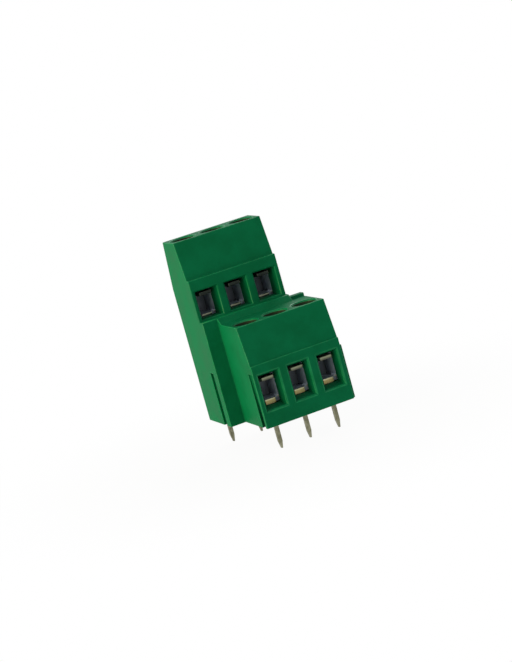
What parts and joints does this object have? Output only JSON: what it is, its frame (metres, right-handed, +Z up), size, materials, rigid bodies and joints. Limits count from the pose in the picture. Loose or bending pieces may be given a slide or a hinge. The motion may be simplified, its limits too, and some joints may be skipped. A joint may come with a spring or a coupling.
{
  "type": "pcb screw terminal",
  "caption": "Two-tier PCB screw terminal with rising-cage clamps, a front row set half a pitch aside from the tall rear row, funnel wire entries, driver wells and solder pins.",
  "frame": {"origin": "on the board plane under the housing, at the centre of the housing's footprint", "axes": "+Z up from the board, +X along the rows of poles to the right as seen from the wire side, -Y towards the wires"},
  "size_m": [0.0182, 0.0198, 0.0346],
  "materials": {
    "housing_plastic": "moulded polyamide, fine satin",
    "screw_steel": "zinc plated",
    "cage_brass": "dull plated brass",
    "tinned_metal": "dull tin plating over copper alloy"
  },
  "bodies": {
    "housing_assembly": {"housing": "housing_plastic", "upper_bar_1": "tinned_metal", "upper_bar_2": "tinned_metal", "upper_bar_3": "tinned_metal", "lower_bar_1": "tinned_metal", "lower_bar_2": "tinned_metal", "lower_bar_3": "tinned_metal"},
    "upper_screw_1": {"upper_screw_1": "screw_steel"},
    "upper_cage_1": {"upper_cage_1": "cage_brass"},
    "upper_screw_2": {"upper_screw_2": "screw_steel"},
    "upper_cage_2": {"upper_cage_2": "cage_brass"},
    "upper_screw_3": {"upper_screw_3": "screw_steel"},
    "upper_cage_3": {"upper_cage_3": "cage_brass"},
    "lower_screw_1": {"lower_screw_1": "screw_steel"},
    "lower_cage_1": {"lower_cage_1": "cage_brass"},
    "lower_screw_2": {"lower_screw_2": "screw_steel"},
    "lower_cage_2": {"lower_cage_2": "cage_brass"},
    "lower_screw_3": {"lower_screw_3": "screw_steel"},
    "lower_cage_3": {"lower_cage_3": "cage_brass"}
  },
  "joints": [
    {"name": "upper_screw_1_turn", "type": "hinge", "parent": "housing_assembly", "child": "upper_screw_1", "pos_m": [-0.00635, 0.0057, 0.02745], "axis": [0, 0, -1], "range_deg": [0, 2160.1]},
    {"name": "upper_cage_1_lift", "type": "slide", "parent": "housing_assembly", "child": "upper_cage_1", "axis": [0, 0, 1], "range_m": [0, 0.003]},
    {"name": "upper_screw_2_turn", "type": "hinge", "parent": "housing_assembly", "child": "upper_screw_2", "pos_m": [-0.00127, 0.0057, 0.02745], "axis": [0, 0, -1], "range_deg": [0, 2160.1]},
    {"name": "upper_cage_2_lift", "type": "slide", "parent": "housing_assembly", "child": "upper_cage_2", "axis": [0, 0, 1], "range_m": [0, 0.003]},
    {"name": "upper_screw_3_turn", "type": "hinge", "parent": "housing_assembly", "child": "upper_screw_3", "pos_m": [0.00381, 0.0057, 0.02745], "axis": [0, 0, -1], "range_deg": [0, 2160.1]},
    {"name": "upper_cage_3_lift", "type": "slide", "parent": "housing_assembly", "child": "upper_cage_3", "axis": [0, 0, 1], "range_m": [0, 0.003]},
    {"name": "lower_screw_1_turn", "type": "hinge", "parent": "housing_assembly", "child": "lower_screw_1", "pos_m": [-0.00381, -0.0058, 0.01345], "axis": [0, 0, -1], "range_deg": [0, 2160.1]},
    {"name": "lower_cage_1_lift", "type": "slide", "parent": "housing_assembly", "child": "lower_cage_1", "axis": [0, 0, 1], "range_m": [0, 0.003]},
    {"name": "lower_screw_2_turn", "type": "hinge", "parent": "housing_assembly", "child": "lower_screw_2", "pos_m": [0.00127, -0.0058, 0.01345], "axis": [0, 0, -1], "range_deg": [0, 2160.1]},
    {"name": "lower_cage_2_lift", "type": "slide", "parent": "housing_assembly", "child": "lower_cage_2", "axis": [0, 0, 1], "range_m": [0, 0.003]},
    {"name": "lower_screw_3_turn", "type": "hinge", "parent": "housing_assembly", "child": "lower_screw_3", "pos_m": [0.00635, -0.0058, 0.01345], "axis": [0, 0, -1], "range_deg": [0, 2160.1]},
    {"name": "lower_cage_3_lift", "type": "slide", "parent": "housing_assembly", "child": "lower_cage_3", "axis": [0, 0, 1], "range_m": [0, 0.003]}
  ],
  "couplings": [
    {"joint": "upper_screw_1_turn", "follows": "upper_cage_1_lift", "rad_per_m": 12566},
    {"joint": "upper_screw_2_turn", "follows": "upper_cage_2_lift", "rad_per_m": 12566},
    {"joint": "upper_screw_3_turn", "follows": "upper_cage_3_lift", "rad_per_m": 12566},
    {"joint": "lower_screw_1_turn", "follows": "lower_cage_1_lift", "rad_per_m": 12566},
    {"joint": "lower_screw_2_turn", "follows": "lower_cage_2_lift", "rad_per_m": 12566},
    {"joint": "lower_screw_3_turn", "follows": "lower_cage_3_lift", "rad_per_m": 12566}
  ]
}
